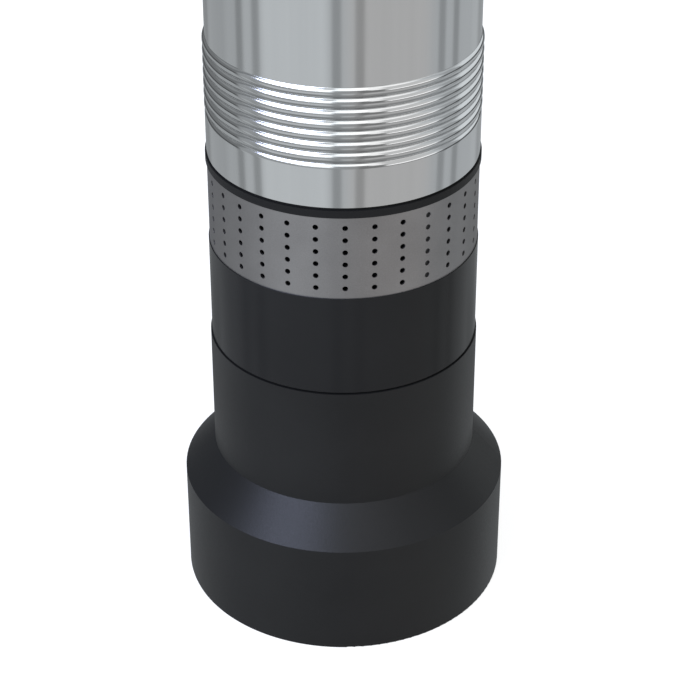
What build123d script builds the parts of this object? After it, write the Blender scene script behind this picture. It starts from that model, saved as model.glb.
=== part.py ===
from build123d import *

import os
from math import acos, cos, degrees, radians, sin, sqrt

# Borehole submersible pump with its intake at the bottom and its motor on top.
# Millimetres, +Z up. The origin is the middle of the foot's underside, on the pump's axis.
# Water enters the strainer, climbs four stages, cools the motor on its way past and leaves at the head.
# Directions about the axis are in degrees from +X, turning towards +Y. The front is -Y.

front_angle = -90.0     # direction of the front
hexagon_sides = 6
corner_share = 1 / sqrt(3)      # a hexagon's corner radius over its width across the flats

# Clearances
fit = 0.05              # between pieces that are assembled and stay still
running = 0.05          # radial, where one piece slides or turns in another
turning = 0.4           # between the rotor and what surrounds it
slip = 0.3              # between the foot and the pump that lifts out of it

# Foot: a hollow moulded stand that the pump drops into
foot_radius = 62.4
foot_skirt_height = 46.0
foot_cone_height = 14.0
foot_collar_height = 48.55
foot_wall = 4.0
foot_shelf = 6.0
foot_drain_radius = 32.0
foot_web_count = 8
foot_web_thickness = 3.0
foot_web_depth = 20.0
foot_web_low = 14.0     # height of a web's toe above the floor
foot_edge_round = 1.0
collar_step = 0.5       # how far the collar stands out from the base cap
collar_wall = 3.3
seam = 0.6              # dark line between the foot's collar and the base cap

# Base cap: a cup turned upside down, whose roof closes the strainer chamber
cap_step = 0.3          # how far the cap stands out from the sleeve's land
cap_height = 39.35      # the part that shows above the foot
cap_wall = 4.0
cap_roof = 7.0

# Strainer: rows and columns of round holes in sheet steel
strainer_step = 0.75    # how far the band stands out from the plain sleeve
strainer_height = 32.5
strainer_sheet = 0.75
strainer_hole = 2.0
strainer_rows = 6
strainer_columns = 30
strainer_row_pitch = 4.84
strainer_angle = 0.67   # from the front to the first column

# Black ring that the sleeve stands on
ring_step = 0.5         # how far the ring stands out from the sleeve's land
ring_height = 3.5

# Sleeve: drawn tube with a swaged lower end and seven rolled ribs
sleeve_radius = 49.0
sleeve_sheet = 1.0
land_step = 0.8         # how far the land stands out from the plain tube
land_height = 14.9
rib_step = 0.95         # how far a rib stands out from the plain tube
rib_count = 7
rib_pitch = 4.07
rib_valley = 0.4        # rounding of the valley between two ribs

# Intake casing: bottom plate, webs, hub and the spigot that the sleeve is rolled onto
web_count = 4
web_thickness = 4.0
web_column = 3          # strainer columns from the first one to the first web
casing_plate = 2.0
casing_roof = 5.0
casing_eye_radius = 22.0
hub_wall = 3.0
spigot_above_ribs = 7.0
seal_width = 3.0
seal_depth = 2.1
cover_thickness = 4.0

# Bolts that hold the base cap to the casing's bosses
bolt_radius = 2.5
bolt_head_radius = 4.25
bolt_head_height = 5.0
bolt_key_flats = 4.0
bolt_slack = 0.25
bolt_circle = 22.0
bolt_grip = 11.0        # reach of a bolt above the base cap
boss_radius = 5.0
boss_height = 14.0

# Stages
stage_count = 4
stage_pitch = 25.0
bowl_wall = 2.0
bowl_floor = 3.0
register = 1.5          # height and width of the step by which one bowl centres the next
impeller_gap = 6.0      # from an impeller's rim to the bowl
eye_radius = 15.5
neck_wall = 1.5
hub_drop = 2.0          # reach of an impeller's hub below its stage
shroud = 1.6
vane_height = 5.2
vane_count = 6
vane_thickness = 1.6
vane_angle = 70.0       # swept from a vane's root to its tip
vane_lead = 0.62        # share of that angle spent by the middle radius
axial_gap = 1.2
guide_gap = 4.0         # from a guide's plate to the bowl
guide_eye = 21.0
guide_plate = 2.0
guide_vane_count = 8
guide_vane_thickness = 2.0
guide_vane_angle = -45.0
wear_ring_wall = 1.7

# Shaft
journal_radius = 6.0
hex_flats = 12.0        # across the flats, through the impellers
seal_radius = 7.5       # through the seals and the lower bearing
rotor_seat_radius = 9.0
spacer_wall = 3.0
bush_wall = 2.5
bush_length = 16.0
bush_inset = 6.5        # from the casing's bottom to the bush
shaft_inset = 3.5       # from the casing's bottom to the shaft's end
nut_flats = 17.0
nut_height = 6.0

# Outlet casing, shaft seals and motor flange
outlet_height = 12.0
outlet_plate = 2.0
outlet_vane_count = 8
outlet_vane_thickness = 2.5
outlet_bore = 20.0
seal_ring_radius = 12.5
seal_seat_height = 4.0
lip_seal_radius = 13.0
lip_seal_height = 7.0
lip_seal_gap = 7.0      # from the lip seal to the lower bearing
flange_thickness = 8.0
flange_rim_height = 6.0
flange_rim_wall = 2.75
bearing_housing_wall = 4.5

# Bearings, as 6202 below and 6201 above
lower_bearing_radius = 17.5
lower_bearing_width = 11.0
lower_bearing_inset = 25.5      # from the flange's underside to the bearing
upper_bearing_radius = 16.0
upper_bearing_bore = 6.0
upper_bearing_width = 10.0
upper_bearing_gap = 2.0         # from the rotor's cage to the bearing
bearing_relief_radius = 12.0    # hollow over the shaft's end in the bracket
race_gap = 0.4

# Motor
water_gap = 4.0         # water jacket between the motor can and the sleeve
can_sheet = 1.2
core_inset = 11.0       # from the lower bearing's top to the core
core_length = 100.0
core_depth = 17.2       # from the can to the core's bore
air_gap = 0.4
cage_ring_height = 8.0
cage_ring_bore = 12.0
slot_count = 24
slot_depth = 11.0
slot_width = 3.6
winding_overhang = 24.0
winding_setback = 1.4   # from the core's bore to the end turns
winding_gap = 1.8       # from the end turns to the can
winding_bevel = 3.0
bracket_gap = 2.0
bracket_thickness = 6.0
lead_hole_radius = 5.0
lead_hole_inset = 11.8  # from the can to the middle of a lead hole
capacitor_radius = 15.0
capacitor_height = 17.0
capacitor_offset = 20.0
capacitor_room = 7.0    # over the capacitor
cover_disc = 12.0
cover_rim_height = 6.0
cover_rim_wall = 5.75
pad_count = 4
pad_radius = 4.0
pad_inset = 6.0         # from the can's outside to the middle of a pad

# Head
head_step = 1.3         # how far the head stands out from the sleeve
head_flange = 20.0
head_chamfer = 2.0
edge_chamfer = 0.5
head_spigot = 18.0
head_clearance = 6.0    # height of the water chamber above the motor
head_mouth_wall = 1.5   # between the mouth and the cable gland's stud
head_cone_height = 8.0
head_throat_height = 2.0
socket_gap = 0.5        # between the socket and the rope eyes
socket_wall = 6.0       # leaves the minor radius of a G 1 1/4 female thread
socket_height = 20.0
screw_count = 6
screw_radius = 2.5
screw_head_radius = 3.9
screw_head_height = 2.1
screw_length = 12.0
screw_key_flats = 3.0
screw_inset = 7.0       # from the sleeve's top to the screws

# Rope eyes
eye_bolt_inset = 12.0   # from the sleeve's bore to the middle of a bolt
eye_bolt_disc = 10.0
eye_bolt_hole = 5.0
eye_bolt_thickness = 8.0
eye_bolt_shoulder = 6.0
eye_bolt_shoulder_height = 2.0
eye_bolt_stud = 4.0
eye_bolt_stud_length = 12.0

# Cable entry
gland_inset = 11.5      # from the sleeve's bore to the middle of the gland
gland_flats = 19.0
gland_body_height = 10.0
gland_stud_radius = 8.0
gland_stud_length = 8.0
gland_wall = 1.0
gland_seal_radius = 6.8
gland_seal_height = 12.0
gland_bore = 4.2
gland_nut_radius = 9.2
gland_nut_height = 8.0
conduit_radius = 6.0
conduit_wall = 1.5
conduit_inset = 4.0     # from the motor cover's underside to the conduit

# Check valve
guide_bore_step = 0.5   # from the thread down to the guide's bore
guide_ledge = 1.5
seat_ledge = 2.5
seat_wall = 5.5
seat_height = 6.0
poppet_gap = 3.0        # round the poppet
poppet_thickness = 4.0
poppet_nose = 4.0
stem_radius = 3.0
stem_length = 17.5      # ends below the port, so that the riser pipe can't touch it
spring_radius = 4.6
spring_wire_radius = 0.6
spring_turns = 3
spring_length = 12.0
guide_ring_wall = 2.0
guide_hub_radius = 5.5
guide_height = 4.5
guide_arm_count = 3
guide_arm_thickness = 3.0
clip_thickness = 1.0
clip_bite = 1.0
clip_wall = 2.5
clip_gap = 8.0

# Heights, each from the one below it
shelf_top = foot_skirt_height + foot_cone_height
collar_top = shelf_top + foot_collar_height
cap_shoulder = collar_top + seam
strainer_z = cap_shoulder + cap_height
ring_z = strainer_z + strainer_height
sleeve_z = ring_z + ring_height
rib_start = sleeve_z + land_height
rib_end = rib_start + rib_pitch * (rib_count + 0.5)
stack_z = sleeve_z + cover_thickness
outlet_z = stack_z + stage_count * stage_pitch
flange_z = outlet_z + outlet_height
can_z = flange_z + flange_thickness
lower_bearing_z = flange_z + lower_bearing_inset
lip_seal_z = lower_bearing_z - lip_seal_gap - lip_seal_height
rotor_seat_z = lower_bearing_z + lower_bearing_width
core_z = rotor_seat_z + core_inset
core_top = core_z + core_length
winding_top = core_top + winding_overhang
bracket_z = winding_top + bracket_gap
bracket_top = bracket_z + bracket_thickness
capacitor_top = bracket_top + capacitor_height
upper_bearing_z = core_top + cage_ring_height + upper_bearing_gap
cover_z = capacitor_top + capacitor_room
cover_top = cover_z + cover_disc
spigot_z = cover_top + head_clearance
sleeve_top = spigot_z + head_spigot
flange_top = sleeve_top + head_flange
head_top = flange_top + socket_height
seat_z = spigot_z + head_cone_height + head_throat_height
seat_top = seat_z + seat_height
guide_z = seat_top + poppet_thickness + spring_length
clip_z = guide_z + guide_height

# Radii that follow from the sleeve and the fits
land_radius = sleeve_radius + land_step
rib_radius = sleeve_radius + rib_step
strainer_radius = sleeve_radius + strainer_step
head_radius = sleeve_radius + head_step
ring_radius = land_radius + ring_step
cap_radius = land_radius + cap_step
collar_radius = cap_radius + collar_step
cap_spigot_radius = collar_radius - collar_wall - slip
cage_radius = strainer_radius - strainer_sheet - 2 * fit
sleeve_bore = sleeve_radius - sleeve_sheet
casing_shift = sleeve_sheet + fit
can_radius = sleeve_bore - water_gap
can_bore = can_radius - can_sheet
bowl_radius = can_radius
bowl_bore = bowl_radius - bowl_wall
impeller_radius = bowl_bore - impeller_gap
guide_radius = bowl_bore - guide_gap
core_bore_radius = can_bore - core_depth
winding_bore = core_bore_radius + winding_setback
winding_radius = can_bore - winding_gap
bush_radius = journal_radius + running + bush_wall
hub_radius = bush_radius + fit + hub_wall
impeller_hub_radius = hex_flats * corner_share + fit + spacer_wall
neck_radius = eye_radius + neck_wall
wear_ring_radius = neck_radius + turning + wear_ring_wall
seal_seat_bore = seal_radius + turning
eye_bolt_offset = sleeve_bore - eye_bolt_inset
gland_offset = sleeve_bore - gland_inset
head_mouth_radius = gland_offset - gland_stud_radius - head_mouth_wall
socket_radius = eye_bolt_offset - eye_bolt_disc - socket_gap
thread_radius = socket_radius - socket_wall
valve_guide_bore = thread_radius - guide_bore_step
valve_bore = valve_guide_bore - guide_ledge
head_throat_radius = valve_bore - seat_ledge
seat_bore = valve_bore - seat_wall
poppet_radius = valve_bore - poppet_gap
first_column = front_angle + strainer_angle
web_start = first_column + web_column * 360 / strainer_columns
gland_place = (0, -gland_offset)


def at(radius, turn, z=0.0):
    """A point given by its distance from the axis, its direction from +X and its height."""
    return (radius * cos(radians(turn)), radius * sin(radians(turn)), z)


def lathe(edges):
    """A solid of revolution from the edges of a closed outline in the XZ plane."""
    return revolve(make_face(edges), Axis.Z)


def turned(*points):
    """A solid of revolution from a closed outline of (radius, height) points."""
    return lathe(Polyline(*[(r, 0, z) for r, z in points], close=True).edges())


def ring(inner, outer, low, high):
    """A plain ring about the axis, or a disc where inner is 0."""
    return turned((inner, low), (outer, low), (outer, high), (inner, high))


def rod(radius, low, high, place=(0, 0)):
    """A round bar along Z at a place in plan."""
    bar = Cylinder(radius, high - low, align=(Align.CENTER, Align.CENTER, Align.MIN))
    return Pos(place[0], place[1], low) * bar


def tube(inner, outer, low, high, place=(0, 0)):
    """A round tube along Z at a place in plan."""
    return rod(outer, low, high, place) - rod(inner, low, high, place)


def hexagon(flats, low, high, place=(0, 0)):
    """A hexagonal bar along Z at a place in plan."""
    face = RegularPolygon(flats * corner_share, hexagon_sides)
    return Pos(place[0], place[1], low) * extrude(face, high - low)


def spoke(radius, inner, outer, z, turn):
    """A round bar along a radius, from inner to outer, at a height and a direction."""
    bar = Rot(0, 90, 0) * Cylinder(radius, outer - inner)
    return Rot(0, 0, turn) * Pos((inner + outer) / 2, 0, z) * bar


def plate(points, thickness, turn=0.0):
    """An upright radial plate from (radius, height) points, turned about the axis."""
    outline = Polyline(*[(r, 0, z) for r, z in points], close=True)
    upright = extrude(make_face(outline), thickness / 2, dir=(0, 1, 0), both=True)
    return Rot(0, 0, turn) * upright


def around(shape, count, start=0.0):
    """Copies of a shape, evenly spaced about the axis."""
    return [Rot(0, 0, start + i * 360 / count) * shape for i in range(count)]


def places(radius, count, start):
    """Points in plan, evenly spaced on a circle about the axis."""
    return [at(radius, start + i * 360 / count)[:2] for i in range(count)]


def flank(crest, shift):
    """Points from a rib's crest to the valley beside it, each as a radius and a height above the crest:
    half way along the crest's arc, where the two arcs meet, and half way along the valley's arc."""
    half = rib_pitch / 2
    step = crest - sleeve_radius
    reach = (half**2 + step**2) / (2 * step)
    slope = acos(1 - step / reach)
    bead = reach - rib_valley - shift
    valley = rib_valley + shift
    middle = crest - shift - bead
    bottom = sleeve_radius - shift + valley
    return [
        (middle + bead * cos(slope / 2), bead * sin(slope / 2)),
        (middle + bead * cos(slope), bead * sin(slope)),
        (bottom - valley * cos(slope / 2), half - valley * sin(slope / 2)),
    ]


def ribbed(shift):
    """Outline of the rolled ribs, from the land up to the plain tube, with the sheet's surface set in by shift."""
    root = sleeve_radius - shift
    near, meet, far = flank(land_radius, shift)
    above = (meet[0], 0, rib_start + meet[1])
    arcs = [ThreePointArc((land_radius - shift, 0, rib_start), (near[0], 0, rib_start + near[1]), above)]
    near, meet, far = flank(rib_radius, shift)
    for i in range(rib_count):
        crest = rib_start + (i + 1) * rib_pitch
        below = (meet[0], 0, crest - meet[1])
        arcs.append(ThreePointArc(above, (root, 0, crest - rib_pitch / 2), below))
        above = (meet[0], 0, crest + meet[1])
        arcs.append(ThreePointArc(below, (rib_radius - shift, 0, crest), above))
    arcs.append(ThreePointArc(above, (far[0], 0, crest + far[1]), (root, 0, rib_end)))
    return arcs


def swept_vane(inner, outer, sweep, thickness, low, high):
    """A curved vane standing between two radii, its tip trailing its root by the angle swept."""
    stations = [(inner, 0.0), ((inner + outer) / 2, vane_lead * sweep), (outer, sweep)]
    slant = (inner + outer) / 2 * radians(sweep) / (outer - inner)
    width = thickness * sqrt(1 + slant**2)
    near = [at(r, -a) for r, a in stations]
    far = [at(r, degrees(width / r) - a) for r, a in stations]
    outline = [
        ThreePointArc(*near),
        Line(near[2], far[2]),
        ThreePointArc(far[2], far[1], far[0]),
        Line(far[0], near[0]),
    ]
    return Pos(0, 0, low) * extrude(make_face(outline), high - low)


def make_foot():
    """Skirt, cone and collar in one wall, with a shelf that carries the pump and webs under it."""
    slope = (foot_radius - collar_radius) / foot_cone_height
    across = foot_wall * sqrt(1 + slope**2)
    shelf_low = shelf_top - foot_shelf
    skirt_bore = foot_radius - foot_wall
    skirt_turn = foot_skirt_height - (across - foot_wall) / slope
    shelf_reach = foot_radius - across - slope * (shelf_low - foot_skirt_height)
    collar_bore = collar_radius - collar_wall
    body = turned(
        (foot_drain_radius, shelf_top),
        (foot_drain_radius, shelf_low),
        (shelf_reach, shelf_low),
        (skirt_bore, skirt_turn),
        (skirt_bore, 0),
        (foot_radius, 0),
        (foot_radius, foot_skirt_height),
        (collar_radius, shelf_top),
        (collar_radius, collar_top),
        (collar_bore, collar_top),
        (collar_bore, shelf_top),
    )
    rim = body.edges().filter_by(GeomType.CIRCLE).filter_by_position(Axis.Z, -fit, fit)
    body = fillet(rim.sort_by(SortBy.RADIUS)[-1], foot_edge_round)
    bury = foot_wall / 2
    web = plate(
        [
            (skirt_bore + bury, foot_web_low),
            (skirt_bore + bury, skirt_turn),
            (shelf_reach + bury, shelf_low + bury),
            (skirt_bore - foot_web_depth, shelf_low + bury),
            (skirt_bore - foot_web_depth, shelf_low - bury),
        ],
        foot_web_thickness,
    )
    return body + around(web, foot_web_count, 360 / foot_web_count / 2)


def make_base_cap():
    """Upside-down cup with a spigot that stands in the foot."""
    roof_low = strainer_z - cap_roof
    upper_bore = cap_radius - cap_wall
    lower_bore = cap_spigot_radius - cap_wall
    cup = turned(
        (lower_bore, shelf_top),
        (cap_spigot_radius, shelf_top),
        (cap_spigot_radius, cap_shoulder),
        (cap_radius, cap_shoulder),
        (cap_radius, strainer_z),
        (0, strainer_z),
        (0, roof_low),
        (upper_bore, roof_low),
        (upper_bore, cap_shoulder + cap_wall),
        (lower_bore, cap_shoulder),
    )
    holes = [
        rod(bolt_radius + bolt_slack, roof_low, strainer_z, place)
        for place in places(bolt_circle, web_count, web_start)
    ]
    return cup - holes


def make_cap_bolts():
    """Socket screws from under the base cap's roof into the casing's bosses."""
    roof_low = strainer_z - cap_roof
    bolts = []
    for place in places(bolt_circle, web_count, web_start):
        head = rod(bolt_head_radius, roof_low - bolt_head_height, roof_low, place)
        key = hexagon(bolt_key_flats, roof_low - bolt_head_height, roof_low - bolt_head_height / 2, place)
        shank = rod(bolt_radius, roof_low, strainer_z + bolt_grip, place)
        bolts.append(head - key + shank)
    return bolts


def make_intake_casing():
    """Bottom plate, four webs, a hub for the bush, and a spigot grooved to match the sleeve."""
    roof_low = sleeve_z - casing_roof
    hub_low = strainer_z + casing_plate
    hub_top = strainer_z + bush_inset + bush_length + hub_wall
    root = sleeve_radius - casing_shift
    land = land_radius - casing_shift
    groove_low = rib_end + (spigot_above_ribs - seal_width) / 2
    spigot_top = rib_end + spigot_above_ribs
    stack_bore = bowl_radius + fit
    lower = Polyline(
        (stack_bore, 0, sleeve_z),
        (casing_eye_radius, 0, sleeve_z),
        (casing_eye_radius, 0, roof_low),
        (cage_radius, 0, roof_low),
        (cage_radius, 0, sleeve_z),
        (land, 0, sleeve_z),
        (land, 0, rib_start),
    )
    upper = Polyline(
        (root, 0, rib_end),
        (root, 0, groove_low),
        (root - seal_depth, 0, groove_low),
        (root - seal_depth, 0, groove_low + seal_width),
        (root, 0, groove_low + seal_width),
        (root, 0, spigot_top),
        (stack_bore, 0, spigot_top),
        (stack_bore, 0, sleeve_z),
    )
    spigot = lathe([*lower.edges(), *ribbed(casing_shift), *upper.edges()])
    base = ring(0, cage_radius, strainer_z, hub_low)
    hub = ring(0, hub_radius, hub_low, hub_top)
    web = plate(
        [
            (bush_radius + hub_wall / 2, hub_low),
            (cage_radius, hub_low),
            (cage_radius, roof_low),
            (casing_eye_radius, roof_low),
            (bush_radius + hub_wall / 2, hub_top - hub_wall),
        ],
        web_thickness,
    )
    boss_top = hub_low + boss_height
    bosses = [rod(boss_radius, hub_low, boss_top, p) for p in places(bolt_circle, web_count, web_start)]
    body = base + hub + spigot + around(web, web_count, web_start) + bosses
    bush_z = strainer_z + bush_inset
    body -= rod(bush_radius + fit, bush_z, hub_top)
    body -= rod(journal_radius + turning, hub_low + turning, bush_z)
    for place in places(bolt_circle, web_count, web_start):
        body -= rod(bolt_radius + fit, strainer_z, strainer_z + bolt_grip, place)
    return body


def make_sleeve_seal():
    """Seal in the casing's groove, squeezed against the sleeve."""
    low = rib_end + (spigot_above_ribs - seal_width) / 2 + fit
    return ring(sleeve_bore - seal_depth, sleeve_bore - fit, low, low + seal_width - 2 * fit)


def make_strainer():
    """Rolled band with rows of round holes."""
    band = ring(strainer_radius - strainer_sheet, strainer_radius, strainer_z, ring_z)
    first_row = (strainer_z + ring_z - strainer_row_pitch * (strainer_rows - 1)) / 2
    holes = []
    for column in range(strainer_columns):
        turn = first_column + column * 360 / strainer_columns
        for row in range(strainer_rows):
            z = first_row + row * strainer_row_pitch
            holes.append(spoke(strainer_hole / 2, cage_radius, strainer_radius + strainer_sheet, z, turn))
    return band - holes


def make_lower_bush():
    """Sleeve bearing in the casing's hub."""
    low = strainer_z + bush_inset
    return ring(journal_radius + running, bush_radius, low, low + bush_length)


def make_bowl(z):
    """Stage wall with a floor on top, and a step that centres what stands on it."""
    top = z + stage_pitch
    floor = top - bowl_floor
    seat = wear_ring_radius + fit
    step = bowl_bore - fit
    return turned(
        (bowl_bore, z),
        (bowl_radius, z),
        (bowl_radius, top),
        (step, top),
        (step, top + register),
        (step - register, top + register),
        (step - register, top),
        (seat, top),
        (seat, floor),
        (bowl_bore, floor),
    )


def make_guide(z):
    """Plate over the impeller, with curved vanes that lead the water back to the axis."""
    low = z + 2 * axial_gap + 2 * shroud + vane_height
    vane = swept_vane(
        guide_eye,
        bowl_bore - fit,
        guide_vane_angle,
        guide_vane_thickness,
        low,
        z + stage_pitch - bowl_floor,
    )
    disc = ring(impeller_hub_radius + turning, guide_radius, low, low + guide_plate)
    return disc + around(vane, guide_vane_count)


def make_impeller(z):
    """Closed impeller: eye neck, two shrouds, curved vanes and a long hexagonal hub."""
    low = z + axial_gap
    back = low + shroud + vane_height
    hub_low = z - hub_drop
    body = ring(0, impeller_hub_radius, hub_low, hub_low + stage_pitch)
    body += ring(0, impeller_radius, back, back + shroud)
    body += turned(
        (eye_radius, z - bowl_floor),
        (neck_radius, z - bowl_floor),
        (neck_radius, low),
        (impeller_radius, low),
        (impeller_radius, low + shroud),
        (eye_radius, low + shroud),
    )
    vane = swept_vane(neck_radius, impeller_radius, vane_angle, vane_thickness, low, back + shroud)
    body += around(vane, vane_count)
    return body - hexagon(hex_flats + 2 * fit, hub_low, hub_low + stage_pitch)


def make_wear_ring(z):
    """Ring that the impeller's neck turns in."""
    return ring(neck_radius + turning, wear_ring_radius, z - bowl_floor, z)


def make_outlet_casing():
    """Ring with radial vanes that carries the motor and turns the water outwards."""
    low = outlet_z + outlet_plate
    disc = ring(outlet_bore, bowl_bore - 2 * fit - register, outlet_z, low)
    vane = plate(
        [(outlet_bore, low), (bowl_radius, low), (bowl_radius, flange_z), (outlet_bore, flange_z)],
        outlet_vane_thickness,
    )
    return disc + around(vane, outlet_vane_count, web_start)


def make_motor_flange():
    """Lower end of the motor, with both shaft seals and the lower bearing in its middle."""
    rim = can_bore - fit
    housing_bore = lower_bearing_radius + fit
    housing = housing_bore + bearing_housing_wall
    return turned(
        (seal_ring_radius + fit, flange_z),
        (can_radius, flange_z),
        (can_radius, can_z),
        (rim, can_z),
        (rim, can_z + flange_rim_height),
        (rim - flange_rim_wall, can_z + flange_rim_height),
        (rim - flange_rim_wall, can_z),
        (housing, can_z),
        (housing, rotor_seat_z),
        (housing_bore, rotor_seat_z),
        (housing_bore, lower_bearing_z),
        (lip_seal_radius + fit, lower_bearing_z),
        (lip_seal_radius + fit, lip_seal_z),
        (seal_seat_bore, lip_seal_z),
        (seal_seat_bore, flange_z + seal_seat_height),
        (seal_ring_radius + fit, flange_z + seal_seat_height),
    )


def make_seals():
    """Seat and turning ring of the face seal, and the lip seal above it."""
    hub_top = outlet_z - hub_drop
    seat = ring(seal_seat_bore, seal_ring_radius, flange_z, flange_z + seal_seat_height)
    turner = ring(seal_radius + fit, seal_ring_radius, hub_top, flange_z - fit)
    lip = ring(seal_seat_bore, lip_seal_radius, lip_seal_z, lip_seal_z + lip_seal_height)
    return {"seal_seat": seat, "seal_ring": turner, "lip_seal": lip}


def make_bearing(name, bore, radius, width, z):
    """Outer and inner ring of a shielded ball bearing."""
    split = (bore + radius) / 2
    return {
        name + "_outer": ring(split + race_gap / 2, radius, z, z + width),
        name + "_inner": ring(bore + fit, split - race_gap / 2, z, z + width),
    }


def make_shaft():
    """One shaft through the pump and the motor, hexagonal where it drives the impellers."""
    hex_low = stack_z - hub_drop
    hex_top = outlet_z - hub_drop
    shaft = rod(journal_radius, strainer_z + shaft_inset, hex_low)
    shaft += hexagon(hex_flats, hex_low, hex_top)
    shaft += rod(seal_radius, hex_top, rotor_seat_z)
    shaft += rod(rotor_seat_radius, rotor_seat_z, upper_bearing_z)
    return shaft + rod(upper_bearing_bore, upper_bearing_z, upper_bearing_z + upper_bearing_width)


def make_shaft_nut():
    """Nut that clamps the impellers against the shaft's shoulder."""
    top = stack_z - hub_drop
    low = top - nut_height
    return hexagon(nut_flats, low, top) - rod(journal_radius + fit, low, top)


def make_rotor():
    """Laminated core, and the end rings of its cage."""
    radius = core_bore_radius - air_gap
    core = ring(rotor_seat_radius + fit, radius, core_z, core_top)
    lower = ring(cage_ring_bore, radius - air_gap, core_z - cage_ring_height, core_z)
    upper = ring(cage_ring_bore, radius - air_gap, core_top, core_top + cage_ring_height)
    return {"rotor_core": core, "rotor_cage": [lower, upper]}


def make_stator_core():
    """Laminated core with open slots around its bore."""
    core = ring(core_bore_radius, can_bore - fit, core_z, core_top)
    inner = core_bore_radius - air_gap
    outer = core_bore_radius + slot_depth
    slot = plate([(inner, core_z), (outer, core_z), (outer, core_top), (inner, core_top)], slot_width)
    return core - around(slot, slot_count)


def make_windings():
    """Copper in the slots, joined by a bundle of end turns above and below."""
    def end_turns(near, far):
        bevel = winding_bevel if far > near else -winding_bevel
        return turned(
            (winding_bore, near),
            (winding_radius, near),
            (winding_radius, far - bevel),
            (winding_radius - winding_bevel, far),
            (winding_bore + winding_bevel, far),
            (winding_bore, far - bevel),
        )

    lower = core_z - fit
    upper = core_top + fit
    inner = winding_bore + winding_bevel / 2
    outer = core_bore_radius + slot_depth - fit
    low = lower - winding_bevel
    high = upper + winding_bevel
    bar = plate([(inner, low), (outer, low), (outer, high), (inner, high)], slot_width - 2 * fit)
    body = end_turns(lower, core_z - winding_overhang) + end_turns(upper, winding_top)
    return body + around(bar, slot_count)


def make_bearing_bracket():
    """Disc over the windings that holds the upper bearing and lets the leads through."""
    bore = upper_bearing_radius + fit
    top = upper_bearing_z + upper_bearing_width
    boss = bore + bearing_housing_wall
    bracket = turned(
        (0, bracket_top),
        (can_bore - fit, bracket_top),
        (can_bore - fit, bracket_z),
        (boss, bracket_z),
        (boss, upper_bearing_z),
        (bore, upper_bearing_z),
        (bore, top),
        (bearing_relief_radius, top),
        (bearing_relief_radius, top + turning),
        (0, top + turning),
    )
    holes = [rod(lead_hole_radius, bracket_z, bracket_top, p) for p in places(can_bore - lead_hole_inset, 2, 0)]
    return bracket - holes


def make_motor_cover():
    """Top of the motor, with pads that the head bears on and the conduit's socket."""
    rim = can_bore - fit
    cover = turned(
        (0, cover_z),
        (rim - cover_rim_wall, cover_z),
        (rim - cover_rim_wall, cover_z - cover_rim_height),
        (rim, cover_z - cover_rim_height),
        (rim, cover_z),
        (can_radius, cover_z),
        (can_radius, cover_top),
        (0, cover_top),
    )
    pad_start = 360 / pad_count / 2
    cover += [rod(pad_radius, cover_top, spigot_z, p) for p in places(can_radius - pad_inset, pad_count, pad_start)]
    cover -= rod(conduit_radius + fit, cover_z + conduit_inset, cover_top, gland_place)
    bore = conduit_radius - conduit_wall
    return cover - rod(bore, cover_z - cover_rim_height, cover_top, gland_place)


def make_conduit():
    """Tube that takes the cable through the water chamber into the motor."""
    top = flange_top - gland_stud_length
    return tube(conduit_radius - conduit_wall, conduit_radius, cover_z + conduit_inset, top, gland_place)


def make_head():
    """Flange and spigot in the sleeve's top, with the check valve's bore and the outlet port."""
    spigot = sleeve_bore - fit
    groove_low = spigot_z + seal_width / 2
    groove = spigot - seal_depth
    clip_radius = valve_guide_bore + clip_bite
    clip_top = clip_z + clip_thickness + fit
    body = turned(
        (head_mouth_radius, spigot_z),
        (spigot, spigot_z),
        (spigot, groove_low),
        (groove, groove_low),
        (groove, groove_low + seal_width),
        (spigot, groove_low + seal_width),
        (spigot, sleeve_top),
        (head_radius, sleeve_top),
        (head_radius, flange_top - head_chamfer),
        (head_radius - head_chamfer, flange_top),
        (socket_radius, flange_top),
        (socket_radius, head_top - edge_chamfer),
        (socket_radius - edge_chamfer, head_top),
        (thread_radius + edge_chamfer, head_top),
        (thread_radius, head_top - edge_chamfer),
        (thread_radius, flange_top),
        (valve_guide_bore, flange_top),
        (valve_guide_bore, clip_top),
        (clip_radius + fit, clip_top),
        (clip_radius + fit, clip_z),
        (valve_guide_bore, clip_z),
        (valve_guide_bore, guide_z),
        (valve_bore, guide_z),
        (valve_bore, seat_z),
        (head_throat_radius, seat_z),
        (head_throat_radius, spigot_z + head_cone_height),
    )
    stud_top = flange_top - gland_stud_length
    body -= rod(conduit_radius + fit, spigot_z, stud_top, gland_place)
    body -= rod(gland_stud_radius + fit, stud_top, flange_top, gland_place)
    for place in places(eye_bolt_offset, 2, 0):
        body -= rod(eye_bolt_stud + fit, flange_top - eye_bolt_stud_length, flange_top, place)
    head_seat = sleeve_radius - screw_head_height
    z = sleeve_top - screw_inset
    for i in range(screw_count):
        turn = i * 360 / screw_count
        body -= spoke(screw_head_radius + fit, head_seat, sleeve_radius, z, turn)
        body -= spoke(screw_radius + fit, head_seat - screw_length, head_seat, z, turn)
    return body


def make_sleeve_screws():
    """Flush radial screws that hold the head in the sleeve."""
    seat = sleeve_radius - screw_head_height
    z = sleeve_top - screw_inset
    rim = sqrt(sleeve_radius**2 - screw_head_radius**2)
    head = spoke(screw_head_radius, seat, rim, z, 0)
    shank = spoke(screw_radius, seat - screw_length, seat, z, 0)
    key = Pos(rim, 0, z) * Rot(0, 90, 0) * extrude(
        RegularPolygon(screw_key_flats * corner_share, hexagon_sides), screw_head_height / 2, both=True)
    return around(head + shank - key, screw_count)


def make_head_seal():
    """Seal in the head's groove, squeezed against the sleeve."""
    low = spigot_z + seal_width / 2 + fit
    return ring(sleeve_bore - seal_depth, sleeve_bore - fit, low, low + seal_width - 2 * fit)


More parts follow.
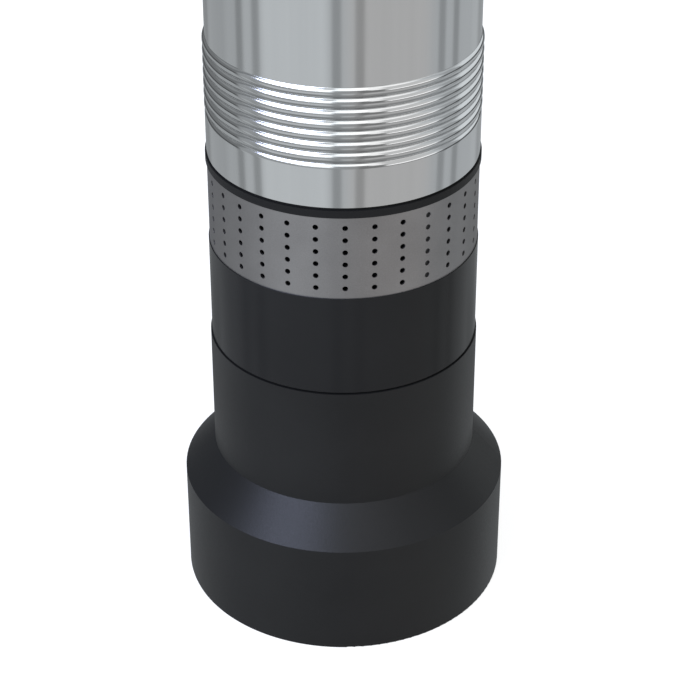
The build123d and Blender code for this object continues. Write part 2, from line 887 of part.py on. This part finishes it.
def make_sleeve():
    """Drawn tube: a swaged land, seven rolled ribs and a plain length up to the head."""
    outer_land = Line((land_radius, 0, sleeve_z), (land_radius, 0, rib_start))
    inner_land = Line((land_radius - sleeve_sheet, 0, sleeve_z), (land_radius - sleeve_sheet, 0, rib_start))
    plain = Polyline(
        (sleeve_radius, 0, rib_end),
        (sleeve_radius, 0, sleeve_top),
        (sleeve_bore, 0, sleeve_top),
        (sleeve_bore, 0, rib_end),
    )
    foot_line = Line((land_radius, 0, sleeve_z), (land_radius - sleeve_sheet, 0, sleeve_z))
    sleeve = lathe([foot_line, outer_land, *ribbed(0), *plain.edges(), *ribbed(sleeve_sheet), inner_land])
    z = sleeve_top - screw_inset
    hole = spoke(screw_head_radius + fit, sleeve_bore - sleeve_sheet, sleeve_radius + sleeve_sheet, z, 0)
    return sleeve - around(hole, screw_count)


def make_rope_eye(side):
    """Lifting eye: stud, shoulder and a flat disc with the rope's hole."""
    low = flange_top
    middle = low + eye_bolt_shoulder_height / 2 + eye_bolt_disc
    place = (side * eye_bolt_offset, 0)
    across = Pos(*place, middle) * Rot(90, 0, 0)
    body = across * Cylinder(eye_bolt_disc, eye_bolt_thickness)
    body += rod(eye_bolt_shoulder, low, low + eye_bolt_shoulder_height, place)
    body += rod(eye_bolt_stud, low - eye_bolt_stud_length, low, place)
    return body - across * Cylinder(eye_bolt_hole, 2 * eye_bolt_thickness)


def make_gland():
    """Cable entry: hexagonal body, rubber seal and a nut that squeezes it."""
    seal_z = flange_top + gland_body_height / 2
    body_top = flange_top + gland_body_height
    seal_top = seal_z + gland_seal_height
    nut_top = body_top + gland_nut_height
    body = hexagon(gland_flats, flange_top, body_top, gland_place)
    body += rod(gland_stud_radius, flange_top - gland_stud_length, flange_top, gland_place)
    body -= rod(conduit_radius - conduit_wall, flange_top - gland_stud_length, body_top, gland_place)
    body -= rod(gland_seal_radius + fit, seal_z, body_top, gland_place)
    seal = tube(gland_bore, gland_seal_radius, seal_z, seal_top, gland_place)
    nut = rod(gland_nut_radius, body_top, nut_top, gland_place)
    nut -= rod(gland_seal_radius + fit, body_top, seal_top, gland_place)
    nut -= rod(gland_bore + gland_wall, seal_top, nut_top, gland_place)
    return {"cable_gland": body, "gland_seal": seal, "gland_nut": nut}


def make_valve_seat():
    """Ring that the poppet closes on."""
    return ring(seat_bore, valve_bore - fit, seat_z, seat_top)


def make_valve_poppet():
    """Disc with a nose below and a guided stem above."""
    top = seat_top + poppet_thickness
    return turned(
        (0, seat_top - poppet_nose),
        (seat_bore / 2, seat_top - poppet_nose),
        (seat_bore - turning, seat_top),
        (poppet_radius, seat_top),
        (poppet_radius, top - edge_chamfer),
        (poppet_radius - edge_chamfer, top),
        (stem_radius, top),
        (stem_radius, top + stem_length),
        (0, top + stem_length),
    )


def make_valve_spring():
    """Coil spring between the poppet and the guide's hub."""
    low = seat_top + poppet_thickness + spring_wire_radius
    rise = spring_length - 2 * spring_wire_radius
    coil = Helix(pitch=rise / spring_turns, height=rise, radius=spring_radius)
    section = Plane(origin=coil @ 0, z_dir=coil % 0) * RegularPolygon(spring_wire_radius, hexagon_sides)
    return Pos(0, 0, low) * sweep(section, path=coil, is_frenet=True)


def make_valve_guide():
    """Ring with three arms and a hub that the stem slides in."""
    top = guide_z + guide_height
    outer = valve_guide_bore - fit
    rim = ring(outer - guide_ring_wall, outer, guide_z, top)
    hub = ring(0, guide_hub_radius, guide_z, top)
    reach = outer - guide_ring_wall / 2
    arm = plate([(0, guide_z), (reach, guide_z), (reach, top), (0, top)], guide_arm_thickness)
    return rim + hub + around(arm, guide_arm_count, -front_angle) - rod(stem_radius + running, guide_z, top)


def make_valve_clip():
    """Open spring ring that keeps the guide in its bore."""
    outer = valve_guide_bore + clip_bite
    whole = ring(outer - clip_wall, outer, clip_z, clip_z + clip_thickness)
    gap = Pos(outer, 0, clip_z) * Box(2 * clip_wall + clip_gap, clip_gap, 4 * clip_thickness)
    return whole - gap


def make_parts():
    """Every piece, by its node's name. A list is a group of separate solids."""
    parts = {
        "foot": make_foot(),
        "base_cap": make_base_cap(),
        "cap_bolts": make_cap_bolts(),
        "intake_casing": make_intake_casing(),
        "sleeve_seal": make_sleeve_seal(),
        "strainer": make_strainer(),
        "lip_ring": ring(cage_radius + fit, ring_radius, ring_z, sleeve_z),
        "lower_bush": make_lower_bush(),
        "suction_cover": ring(wear_ring_radius + fit, bowl_radius, sleeve_z, stack_z),
        "outlet_casing": make_outlet_casing(),
        "motor_flange": make_motor_flange(),
        "shaft": make_shaft(),
        "shaft_nut": make_shaft_nut(),
        "stator_core": make_stator_core(),
        "windings": make_windings(),
        "motor_can": ring(can_bore, can_radius, can_z, cover_z),
        "bearing_bracket": make_bearing_bracket(),
        "capacitor": rod(capacitor_radius, bracket_top, capacitor_top, (0, capacitor_offset)),
        "motor_cover": make_motor_cover(),
        "conduit": make_conduit(),
        "head": make_head(),
        "head_seal": make_head_seal(),
        "sleeve": make_sleeve(),
        "sleeve_screws": make_sleeve_screws(),
        "rope_eye_left": make_rope_eye(-1),
        "rope_eye_right": make_rope_eye(1),
        "valve_seat": make_valve_seat(),
        "valve_poppet": make_valve_poppet(),
        "valve_spring": make_valve_spring(),
        "valve_guide": make_valve_guide(),
        "valve_clip": make_valve_clip(),
    }
    for i in range(stage_count):
        z = stack_z + i * stage_pitch
        parts[f"bowl_{i + 1}"] = make_bowl(z)
        parts[f"guide_{i + 1}"] = make_guide(z)
        parts[f"impeller_{i + 1}"] = make_impeller(z)
        parts[f"wear_ring_{i + 1}"] = make_wear_ring(z)
    parts |= make_seals() | make_rotor() | make_gland()
    parts |= make_bearing(
        "lower_bearing", seal_radius, lower_bearing_radius, lower_bearing_width, lower_bearing_z
    )
    parts |= make_bearing(
        "upper_bearing", upper_bearing_bore, upper_bearing_radius, upper_bearing_width, upper_bearing_z
    )
    return parts


os.makedirs("parts", exist_ok=True)
for name, piece in make_parts().items():
    solids = [s for p in piece for s in p.solids()] if isinstance(piece, list) else piece.solids()
    export_step(Compound(solids), f"parts/{name}.step")
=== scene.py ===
from math import acos, cos, pi, radians, sin, tan

import bmesh
import bpy
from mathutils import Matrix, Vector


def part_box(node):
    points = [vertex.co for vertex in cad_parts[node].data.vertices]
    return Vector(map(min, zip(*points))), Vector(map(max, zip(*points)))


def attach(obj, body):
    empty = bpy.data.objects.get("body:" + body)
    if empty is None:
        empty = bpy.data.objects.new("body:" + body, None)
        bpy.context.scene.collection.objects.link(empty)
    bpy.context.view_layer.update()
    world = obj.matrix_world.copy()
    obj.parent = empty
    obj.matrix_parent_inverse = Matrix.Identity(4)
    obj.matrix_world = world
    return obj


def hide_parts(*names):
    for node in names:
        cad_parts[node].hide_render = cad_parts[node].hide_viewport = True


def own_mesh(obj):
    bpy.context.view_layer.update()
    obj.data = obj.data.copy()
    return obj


# The borehole pump on a pale floor, seen from above its front. Metres, +Z up, the front is -Y.
# Directions in plan are in degrees from the front, turning towards +X.

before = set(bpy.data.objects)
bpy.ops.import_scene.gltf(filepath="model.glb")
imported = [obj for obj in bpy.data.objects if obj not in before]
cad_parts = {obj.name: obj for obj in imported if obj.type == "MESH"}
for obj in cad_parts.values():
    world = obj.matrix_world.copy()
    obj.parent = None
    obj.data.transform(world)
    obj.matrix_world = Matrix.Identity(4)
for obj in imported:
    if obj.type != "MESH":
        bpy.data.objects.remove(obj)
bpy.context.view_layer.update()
scene = bpy.context.scene

# Camera, looking down at the pump's lower end
camera_lens = 111.72
camera_sensor = 36.0
camera_place = (-0.00008, -0.7088, 0.5400)
camera_pitch = 32.056
camera_yaw = 0.2027
camera_near = 0.01
camera_far = 100.0

# Sleeve and its ribs, as the CAD has them
sleeve_radius = 0.049
sleeve_sheet = 0.001
sleeve_steps = 360
land_step = 0.0008
land_height = 0.0149
rib_step = 0.00095
rib_pitch = 0.00407
rib_count = 7
rib_valley = 0.0004
rib_steps = 8

# Holes in the sleeve for the head's screws
screw_count = 6
screw_hole = 0.00395
screw_inset = 0.007
screw_steps = 48

# Seam between the lip ring and the sleeve's deburred end
sleeve_chamfer = 0.0003
seam_height = 0.0006
seam_depth = 0.0009
ring_steps = 180

# Spring of the check valve
wire_radius = 0.0006
wire_steps = 12
spring_turns = 3
spring_steps = 48

# Pipe thread of the outlet, G 1 1/4: its groove has flanks at an angle in degrees and a flat bottom
thread_pitch = 0.002309
thread_minor = 0.0195
thread_major = 0.020955
thread_length = 0.0185
thread_flank = 27.5
thread_half_flat = thread_pitch / 12
thread_overlap = 0.0002
thread_steps = 72

# Points nearer than this are one
weld_gap = 0.000001

# Edges that turn by more than this many degrees are shaded sharp
turned_edge = 25
wire_edge = 50
head_edge = 30

# How much a face's area counts in the head's shading
area_weight = 100


def make_camera():
    data = bpy.data.cameras.new("camera")
    data.lens = camera_lens
    data.sensor_width = camera_sensor
    data.clip_start = camera_near
    data.clip_end = camera_far
    camera = bpy.data.objects.new("camera", data)
    camera.location = camera_place
    camera.rotation_euler = (radians(90 - camera_pitch), 0, radians(-camera_yaw))
    scene.collection.objects.link(camera)
    scene.camera = camera


def new_mesh(name, points, faces, smooth=False):
    """A mesh object from its points and faces."""
    data = bpy.data.meshes.new(name)
    data.from_pydata(points, [], faces)
    data.validate()
    if smooth:
        data.shade_smooth()
    else:
        data.shade_flat()
    piece = bpy.data.objects.new(name, data)
    scene.collection.objects.link(piece)
    return piece


# Materials


class Graph:
    """A node tree and short ways to add to it."""

    def __init__(self, tree):
        self.tree = tree

    def add(self, kind, **values):
        node = self.tree.nodes.new(kind)
        for name, value in values.items():
            setattr(node, name, value)
        return node

    def link(self, source, target):
        self.tree.links.new(source, target)

    def maths(self, operation, *inputs):
        node = self.add("ShaderNodeMath", operation=operation)
        for socket, value in zip(node.inputs, inputs):
            if hasattr(value, "links"):
                self.link(value, socket)
            else:
                socket.default_value = value
        return node.outputs[0]

    def between(self, source, low, high, near=0.3, far=0.7, soft=False):
        """A value mapped from near..far to low..high, with soft ends if asked."""
        node = self.add("ShaderNodeMapRange")
        if soft:
            node.interpolation_type = "SMOOTHSTEP"
        self.link(source, node.inputs["Value"])
        node.inputs["From Min"].default_value = near
        node.inputs["From Max"].default_value = far
        node.inputs["To Min"].default_value = low
        node.inputs["To Max"].default_value = high
        return node.outputs["Result"]

    def blend(self, source, low, high, near=0.3, far=0.7):
        """A colour between two, by a value mapped from near..far."""
        node = self.add("ShaderNodeValToRGB")
        self.link(source, node.inputs["Fac"])
        first, last = node.color_ramp.elements
        first.position, last.position = near, far
        first.color, last.color = (*low, 1), (*high, 1)
        return node.outputs["Color"]


class Look(Graph):
    """A procedural material: a Principled shader and the nodes that drive it."""

    def __init__(self, name):
        self.material = bpy.data.materials.new(name)
        self.material.use_nodes = True
        super().__init__(self.material.node_tree)
        self.shader = self.tree.nodes["Principled BSDF"]
        self.place = self.add("ShaderNodeTexCoord").outputs["Object"]

    def set(self, **values):
        """Uniform values, straight on the shader's sockets."""
        for name, value in values.items():
            self.shader.inputs[name.replace("_", " ")].default_value = value

    def stretched(self, scale):
        """Object coordinates with a scale along each axis."""
        node = self.add("ShaderNodeMapping")
        self.link(self.place, node.inputs["Vector"])
        node.inputs["Scale"].default_value = scale
        return node.outputs[0]

    def wrapped(self, along, up):
        """Coordinates on a sheet round the pump's axis: direction times along, height times up."""
        parts = self.add("ShaderNodeSeparateXYZ")
        self.link(self.place, parts.inputs[0])
        x, y, z = parts.outputs
        turn = self.maths("ARCTAN2", x, y)
        joined = self.add("ShaderNodeCombineXYZ")
        self.link(self.maths("MULTIPLY", self.maths("SINE", turn), along), joined.inputs[0])
        self.link(self.maths("MULTIPLY", self.maths("COSINE", turn), along), joined.inputs[1])
        self.link(self.maths("MULTIPLY", z, up), joined.inputs[2])
        return joined.outputs[0]

    def noise(self, place, scale, detail=3.0, roughness=0.5):
        node = self.add("ShaderNodeTexNoise")
        self.link(place, node.inputs["Vector"])
        node.inputs["Scale"].default_value = scale
        node.inputs["Detail"].default_value = detail
        node.inputs["Roughness"].default_value = roughness
        return node.outputs["Fac"]

    def colour(self, source):
        self.link(source, self.shader.inputs["Base Color"])

    def rough(self, source):
        self.link(source, self.shader.inputs["Roughness"])

    def bump(self, height, distance, strength):
        node = self.add("ShaderNodeBump")
        node.inputs["Strength"].default_value = strength
        node.inputs["Distance"].default_value = distance
        self.link(height, node.inputs["Height"])
        self.link(node.outputs["Normal"], self.shader.inputs["Normal"])

    def mottle(self, marks, colour, spread, rough, depth):
        """Colour, roughness and relief that all follow the same marks."""
        self.colour(self.blend(marks, *shades(1, spread, colour)))
        self.rough(self.between(marks, *rough))
        self.bump(marks, depth, strength=0.5)


def shades(grey, spread, tint=(1, 1, 1)):
    """A darker and a lighter colour about a grey."""
    return [tuple(grey * t * (1 + s * spread) for t in tint) for s in (-1, 1)]


def sleeve_steel():
    """Polished tube made by drawing: faint lengthwise bands in the colour, partly drawing marks and
    partly painted reflection streaks, and a cloudy polish.
    """
    look = Look("sleeve_steel")
    # Lengthwise bands darker and lighter in the colour: partly marks of the drawing, partly painted
    # reflection streaks.
    drawing_and_painted_streaks = look.noise(look.wrapped(along=1.0, up=0.02), scale=9.0)
    cloud = look.noise(look.place, scale=45.0, detail=4.0)
    look.colour(look.blend(drawing_and_painted_streaks, *shades(0.58, 0.025, tint=(0.99, 1.0, 1.005))))
    look.rough(look.between(cloud, low=0.10, high=0.13))
    look.set(Metallic=1.0)
    return look.material


def strainer_steel():
    """Perforated sheet: a fine matte grain over faint clouds."""
    look = Look("strainer_steel")
    grain = look.noise(look.place, scale=2600.0)
    cloud = look.noise(look.place, scale=60.0, detail=2.0)
    mixed = look.maths("ADD", look.maths("MULTIPLY", grain, 0.6),
                       look.maths("MULTIPLY", cloud, 0.4))
    look.colour(look.blend(mixed, *shades(0.3, 0.12, tint=(1.015, 0.985, 0.985))))
    look.rough(look.between(grain, low=0.34, high=0.44))
    look.bump(grain, distance=0.00003, strength=0.4)
    look.set(Metallic=1.0, Specular_Tint=(0.7, 0.7, 0.7, 1.0))
    return look.material


def moulded(name, grey, spread, rough, scale, depth, shine):
    """Black plastic with a moulded grain."""
    look = Look(name)
    look.set(Specular_IOR_Level=shine)
    grain = look.noise(look.place, scale, detail=4.0, roughness=0.6)
    cloud = look.noise(look.place, scale=25.0)
    look.colour(look.blend(cloud, *shades(grey, spread)))
    look.rough(look.between(grain, *rough))
    look.bump(grain, depth, strength=0.6)
    return look.material


def metal(name, colour, spread, rough, scale, depth, stretch):
    """Bare metal with tool or casting marks."""
    look = Look(name)
    marks = look.noise(look.stretched(stretch), scale, detail=4.0, roughness=0.6)
    look.mottle(marks, colour, spread, rough, depth)
    look.set(Metallic=1.0)
    return look.material


def solid(name, colour, spread, rough, scale, depth):
    """Plastic, rubber or ceramic with faint mottling."""
    look = Look(name)
    marks = look.noise(look.place, scale, detail=4.0, roughness=0.55)
    look.mottle(marks, colour, spread, rough, depth)
    return look.material


# Each row: slot, colour or grey, its spread, roughness from and to, scale and depth of the marks,
# and last the shine of a moulded plastic or how a metal's marks are stretched.
moulded_slots = (
    ("foot_black", 0.0086, 0.12, (0.36, 0.44), 1500.0, 0.00006, 0.2),
    ("cap_black", 0.0108, 0.08, (0.16, 0.2), 1200.0, 0.000005, 0.12),
    ("casing_black", 0.02, 0.1, (0.5, 0.6), 900.0, 0.00005, 0.4),
    ("ring_black", 0.0078, 0.1, (0.45, 0.55), 1800.0, 0.00005, 0.16),
)
metal_slots = (
    ("steel", (0.55, 0.55, 0.56), 0.05, (0.24, 0.3), 300.0, 0.000003, (1, 1, 4)),
    ("cast_steel", (0.42, 0.42, 0.43), 0.1, (0.4, 0.52), 900.0, 0.00006, (1, 1, 1)),
    ("laminations", (0.2, 0.2, 0.21), 0.2, (0.4, 0.5), 400.0, 0.0001, (0.1, 0.1, 5)),
    ("copper", (0.72, 0.32, 0.16), 0.15, (0.3, 0.45), 500.0, 0.0002, (1, 1, 0.2)),
    ("aluminium", (0.7, 0.71, 0.72), 0.06, (0.4, 0.5), 500.0, 0.00003, (1, 1, 1)),
    ("bronze", (0.65, 0.48, 0.24), 0.08, (0.25, 0.35), 400.0, 0.00001, (1, 1, 6)),
)
solid_slots = (
    ("rubber", (0.02, 0.02, 0.02), 0.15, (0.6, 0.75), 1200.0, 0.00004),
    ("stage_plastic", (0.1, 0.1, 0.105), 0.1, (0.4, 0.5), 900.0, 0.00003),
    ("valve_white", (0.75, 0.74, 0.7), 0.03, (0.35, 0.45), 300.0, 0.00001),
    ("capacitor_white", (0.78, 0.78, 0.76), 0.03, (0.35, 0.45), 300.0, 0.00001),
    ("seal_ceramic", (0.8, 0.79, 0.75), 0.02, (0.15, 0.2), 300.0, 0.000005),
    ("carbon", (0.05, 0.05, 0.052), 0.1, (0.3, 0.4), 900.0, 0.00001),
)

finishes = {"sleeve_steel": sleeve_steel(), "strainer_steel": strainer_steel()}
for make, slots in ((moulded, moulded_slots), (metal, metal_slots), (solid, solid_slots)):
    finishes.update((row[0], make(*row)) for row in slots)


def dress_nodes():
    """Every CAD node gets the finish of its own slot."""
    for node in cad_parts.values():
        for slot in node.material_slots:
            slot.material = finishes[slot.material.name.split(".")[0]]


# Pieces that stand for a CAD node, on a finer mesh


def lathed(name, outline, steps):
    """A turned piece from a closed outline of (radius, height), smooth but for its sharp edges."""
    points, faces = [], []
    count = len(outline)
    for i in range(steps):
        turn = 2 * pi * i / steps
        points += [(r * sin(turn), -r * cos(turn), z) for r, z in outline]
        here, there = i * count, (i + 1) % steps * count
        for j in range(count):
            k = (j + 1) % count
            faces.append((here + j, here + k, there + k, there + j))
    piece = new_mesh(name, points, faces, smooth=True)
    piece.data.set_sharp_from_angle(angle=radians(turned_edge))
    return piece


def swept(name, rings, smooth=False):
    """A closed rod through rings of equally many points, with a face on each end."""
    size = len(rings[0])
    points = [point for ring in rings for point in ring]
    faces = []
    for here in range(size, len(points), size):
        last = here - size
        for j in range(size):
            k = (j + 1) % size
            faces.append((last + j, here + j, here + k, last + k))
    end = len(points) - size
    faces += [tuple(range(size)), tuple(range(end + size - 1, end - 1, -1))]
    return new_mesh(name, points, faces, smooth)


def cut(piece, cutter):
    """Takes the cutter out of the piece, and away."""
    boolean = piece.modifiers.new("cut", "BOOLEAN")
    boolean.operation = "DIFFERENCE"
    boolean.solver = "EXACT"
    boolean.object = cutter
    graph = bpy.context.evaluated_depsgraph_get()
    data = bpy.data.meshes.new_from_object(piece.evaluated_get(graph), depsgraph=graph)
    piece.modifiers.clear()
    piece.data = data
    bpy.data.objects.remove(cutter)


def half_wave(crest, shift):
    """Points from a rib's crest to the valley above it: radius, and height above the crest."""
    half = rib_pitch / 2
    step = crest - sleeve_radius
    reach = (half**2 + step**2) / (2 * step)
    slope = acos(1 - step / reach)
    bead, valley = reach - rib_valley - shift, rib_valley + shift
    turns = [slope * i / rib_steps for i in range(rib_steps + 1)]
    middle, bottom = crest - shift - bead, sleeve_radius - shift + valley
    crest_arc = [(middle + bead * cos(a), bead * sin(a)) for a in turns]
    valley_arc = [(bottom - valley * cos(a), half - valley * sin(a)) for a in reversed(turns[:-1])]
    return crest_arc + valley_arc


def ribbed(shift):
    """Outline of the rolled ribs, from the land to the plain tube, set in by shift."""
    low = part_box("sleeve")[0].z + land_height
    points = [(r, low + z) for r, z in half_wave(sleeve_radius + land_step, shift)]
    wave = half_wave(sleeve_radius + rib_step, shift)
    for i in range(rib_count):
        crest = low + (i + 1) * rib_pitch
        points += [(r, crest - z) for r, z in reversed(wave[:-1])]
        points += [(r, crest + z) for r, z in wave[1:]]
    return points


def screw_holes(z):
    """Short rods across the sleeve's wall, where the head's screws sit."""
    points, faces = [], []
    circle = [2 * pi * j / screw_steps for j in range(screw_steps)]
    for i in range(screw_count):
        turn = 2 * pi * i / screw_count
        start = len(points)
        for reach in (sleeve_radius - 3 * sleeve_sheet, sleeve_radius + 2 * sleeve_sheet):
            for a in circle:
                side, rise = screw_hole * cos(a), screw_hole * sin(a)
                x = reach * cos(turn) - side * sin(turn)
                y = reach * sin(turn) + side * cos(turn)
                points.append((x, y, z + rise))
        inner = [start + j for j in range(screw_steps)]
        outer = [start + screw_steps + j for j in range(screw_steps)]
        faces += [inner[::-1], outer]
        for j in range(screw_steps):
            k = (j + 1) % screw_steps
            faces.append((inner[j], inner[k], outer[k], outer[j]))
    return new_mesh("screw_holes", points, faces)


def make_sleeve():
    """The tube, made by drawing, with its land, its ribs and the holes for the head's screws."""
    low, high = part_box("sleeve")
    land = sleeve_radius + land_step
    bore = sleeve_radius - sleeve_sheet
    chamfer = [(land - sleeve_chamfer, low.z), (land, low.z + sleeve_chamfer)]
    outside = [*chamfer, *ribbed(0.0), (sleeve_radius, high.z)]
    inside = [(bore, high.z), *reversed(ribbed(sleeve_sheet)), (land - sleeve_sheet, low.z)]
    sleeve = lathed("sleeve_tube", outside + inside, sleeve_steps)
    sleeve.data.materials.append(finishes["sleeve_steel"])
    cut(sleeve, screw_holes(high.z - screw_inset))
    sleeve.data.set_sharp_from_angle(angle=radians(turned_edge))
    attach(sleeve, "pump")
    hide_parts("sleeve")


def make_ring():
    """The lip ring, stepped in at its top where it meets the sleeve."""
    low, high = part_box("lip_ring")
    bore = min(point.co.xy.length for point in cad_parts["lip_ring"].data.vertices)
    rim, seam, step = high.x, high.x - seam_depth, high.z - seam_height
    outside = [(rim, low.z), (rim, step), (seam, step), (seam, high.z)]
    ring = lathed("ring_seamed", [*outside, (bore, high.z), (bore, low.z)], ring_steps)
    ring.data.materials.append(finishes["ring_black"])
    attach(ring, "pump")
    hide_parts("lip_ring")


def make_spring():
    """The check valve's round-wire spring."""
    low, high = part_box("valve_spring")
    reach, first = high.x - wire_radius, low.z + wire_radius
    rise = high.z - low.z - 2 * wire_radius
    count = spring_turns * spring_steps
    circle = [2 * pi * j / wire_steps for j in range(wire_steps)]
    section = [(reach + wire_radius * cos(a), wire_radius * sin(a)) for a in circle]
    rings = []
    for i in range(count + 1):
        turn = 2 * pi * i / spring_steps
        z = first + rise * i / count
        rings.append([(r * cos(turn), r * sin(turn), z + up) for r, up in section])
    spring = swept("spring_coil", rings, smooth=True)
    spring.data.set_sharp_from_angle(angle=radians(wire_edge))
    spring.data.materials.append(finishes["steel"])
    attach(spring, "pump")
    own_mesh(spring)
    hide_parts("valve_spring")


def thread_cutter(top):
    """A groove wound along the outlet's bore, from above its rim down to the thread's end."""
    inner = thread_minor - thread_overlap
    root = thread_half_flat
    mouth = root + (thread_major - inner) * tan(radians(thread_flank))
    section = ((inner, mouth), (thread_major, root), (thread_major, -root), (inner, -mouth))
    count = round((thread_length + thread_pitch) / thread_pitch * thread_steps)
    rings = []
    for i in range(count + 1):
        turn = 2 * pi * i / thread_steps
        z = top + thread_pitch - thread_pitch * i / thread_steps
        rings.append([(r * cos(turn), -r * sin(turn), z + up) for r, up in section])
    return swept("thread", rings)


def make_head():
    """The head with a real thread in its outlet."""
    head = bpy.data.objects.new("head_threaded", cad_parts["head"].data.copy())
    scene.collection.objects.link(head)
    mesh = bmesh.new()
    mesh.from_mesh(head.data)
    bmesh.ops.remove_doubles(mesh, verts=mesh.verts, dist=weld_gap)
    mesh.to_mesh(head.data)
    mesh.free()
    cut(head, thread_cutter(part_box("head")[1].z))
    head.data.set_sharp_from_angle(angle=radians(head_edge))
    normals = head.modifiers.new("normals", "WEIGHTED_NORMAL")
    normals.keep_sharp = True
    normals.weight = area_weight
    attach(head, "pump")
    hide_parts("head")


# Studio: light by direction alone, which shows as reflections, and one lamp.
# Directions in plan and heights are in degrees.

# Walls below the horizon: where each one ends in plan, and its brightness
walls = ((-146, 0.34), (-112, 0.51), (-88, 0.59), (-70, 0.67), (-12, 0.82), (14, 0.69),
         (110, 0.65), (145, 0.62), (200, 0.42))
wall_fade = 5.0

# Dark streaks down the walls, and the share of light that they leave
flags = (-93.0, -75.0, -5.2, 13.4, 87.3, 104.3)
flag_width = 7.5
flag_fade = 1.2
flag_share = 0.64

# The floor far below, which the walls fade into
under_light = 0.36
under_height = -46.0
under_fade = 6.0

# Panels laid over one another in this order: from and to in plan, from and to in height, brightness
panels = (
    (-220, -90, -13, 200, 0.27),
    (-140, -100, 22, 50, 0.42),
    (-90, 12, -13, 200, 0.48),
    (12, 78, -13, 200, 0.28),
    (78, 220, -13, 200, 0.54),
    (78, 220, 33, 55, 0.72),
    (-220, -90, -13, 0, 0.12),
    (-220, -130, -60, -34, 0.48),
    (-220, -136, -33, -30.5, 0.14),
    (136, 220, -33, -30.5, 0.2),
    (78, 220, -13, 0, 0.10),
    (-220, 220, 56, 200, 0.80),
    (-9, 33, 33, 80, 1.95),
    (22, 38, 22, 60, 1.50),
    (34, 84, -3, 56, 0.85),
    (34, 78, -3, 6, 1.90),
    (34, 84, 50, 64, 1.60),
    (104, 150, 0, 30, 1.10),
    (-38, -9, 4, 18, 1.30),
    (-66, -9, 14, 50, 2.20),
)
softbox = (-96, -28, 48, 80, 2.70)
panel_fade = 2.5

# Colours of the light: neutral over the warm range, cool elsewhere, and bluish from the soft box up
white = (1.0, 1.0, 1.0)
cool_tint = (0.925, 0.97, 1.0)
warm_first, warm_last = 5, 75
warm_fade = 10.0
softbox_tint = (0.64, 0.74, 1.0)
softbox_side_fade = 8.0
softbox_low_fade = 6.0

# Lamp: width and height, power, and how it is turned in degrees
key_size = (1.1, 0.55)
key_energy = 12.8
key_colour = (0.62, 0.69, 1.0)
key_place = (-0.69, -0.67, 0.84)
key_pitch, key_turn = 51, -45

# Floor
floor_reach = 30.0
floor_grey = 0.3
floor_spread = 0.005
floor_cloud = 3.0
floor_glow = 0.82


def make_world():
    """Streaked walls low down, panels and a soft box above them."""
    world = bpy.data.worlds.new("world")
    world.use_nodes = True
    scene.world = world
    graph = Graph(world.node_tree)
    background = world.node_tree.nodes["Background"]
    parts = graph.add("ShaderNodeSeparateXYZ")
    graph.link(graph.add("ShaderNodeTexCoord").outputs["Generated"], parts.inputs[0])
    x, y, z = parts.outputs
    plan = graph.maths("ARCTAN2", x, graph.maths("MULTIPLY", y, -1.0))
    turn = graph.maths("MULTIPLY", plan, 180 / pi)
    height = graph.maths("MULTIPLY", graph.maths("ARCSINE", z), 180 / pi)

    def edge(value, place, fade):
        return graph.between(value, 0.0, 1.0, place - fade, place + fade, soft=True)

    def window(value, first, last, fade):
        return graph.maths("SUBTRACT", edge(value, first, fade), edge(value, last, fade))

    def lay(light, share, level):
        change = graph.maths("SUBTRACT", level, light)
        return graph.maths("ADD", light, graph.maths("MULTIPLY", share, change))

    light = graph.maths("ADD", walls[0][1], 0.0)
    for (place, here), (_, there) in zip(walls, walls[1:]):
        step = graph.maths("MULTIPLY", edge(turn, place, wall_fade), there - here)
        light = graph.maths("ADD", light, step)
    for place in flags:
        streak = window(turn, place - flag_width / 2, place + flag_width / 2, flag_fade)
        share = graph.between(streak, 1.0, flag_share, 0.0, 1.0)
        light = graph.maths("MULTIPLY", light, share)
    below = graph.maths("SUBTRACT", 1.0, edge(height, under_height, under_fade))
    light = lay(light, below, under_light)
    for first, last, low, high, level in (*panels, softbox):
        across = window(turn, first, last, panel_fade)
        area = graph.maths("MULTIPLY", across, window(height, low, high, panel_fade))
        light = lay(light, area, level)
    seen = graph.add("ShaderNodeLightPath").outputs["Is Camera Ray"]
    light = graph.maths("MAXIMUM", light, seen)
    graph.link(light, background.inputs["Strength"])

    across = window(turn, softbox[0], softbox[1], softbox_side_fade)
    box = graph.maths("MULTIPLY", across, edge(height, softbox[2], softbox_low_fade))
    cool = graph.maths("SUBTRACT", 1.0, window(turn, warm_first, warm_last, warm_fade))
    tint = graph.add("ShaderNodeVectorMath", operation="MULTIPLY")
    graph.link(graph.blend(cool, white, cool_tint, near=0.0, far=1.0), tint.inputs[0])
    graph.link(graph.blend(box, white, softbox_tint, near=0.0, far=1.0), tint.inputs[1])
    graph.link(tint.outputs[0], background.inputs["Color"])


def make_floor():
    corners = ((-1, -1), (1, -1), (1, 1), (-1, 1))
    points = [(x * floor_reach, y * floor_reach, 0) for x, y in corners]
    floor = new_mesh("floor", points, [(0, 1, 2, 3)])
    look = Look("floor")
    cloud = look.noise(look.place, floor_cloud)
    look.colour(look.blend(cloud, *shades(floor_grey, floor_spread)))
    look.set(Roughness=1.0, Specular_IOR_Level=0.0)
    look.set(Emission_Color=(*white, 1), Emission_Strength=floor_glow)
    floor.data.materials.append(look.material)
    floor.visible_glossy = False


def make_lamp():
    key = bpy.data.lights.new("key", "AREA")
    key.shape = "ELLIPSE"
    key.size, key.size_y = key_size
    key.energy = key_energy
    key.color = key_colour
    lamp = bpy.data.objects.new("key", key)
    lamp.location = key_place
    lamp.rotation_euler = (radians(key_pitch), 0, radians(key_turn))
    scene.collection.objects.link(lamp)


make_camera()
dress_nodes()
make_sleeve()
make_ring()
make_spring()
make_head()
make_floor()
make_world()
make_lamp()
scene.view_settings.view_transform = "Standard"
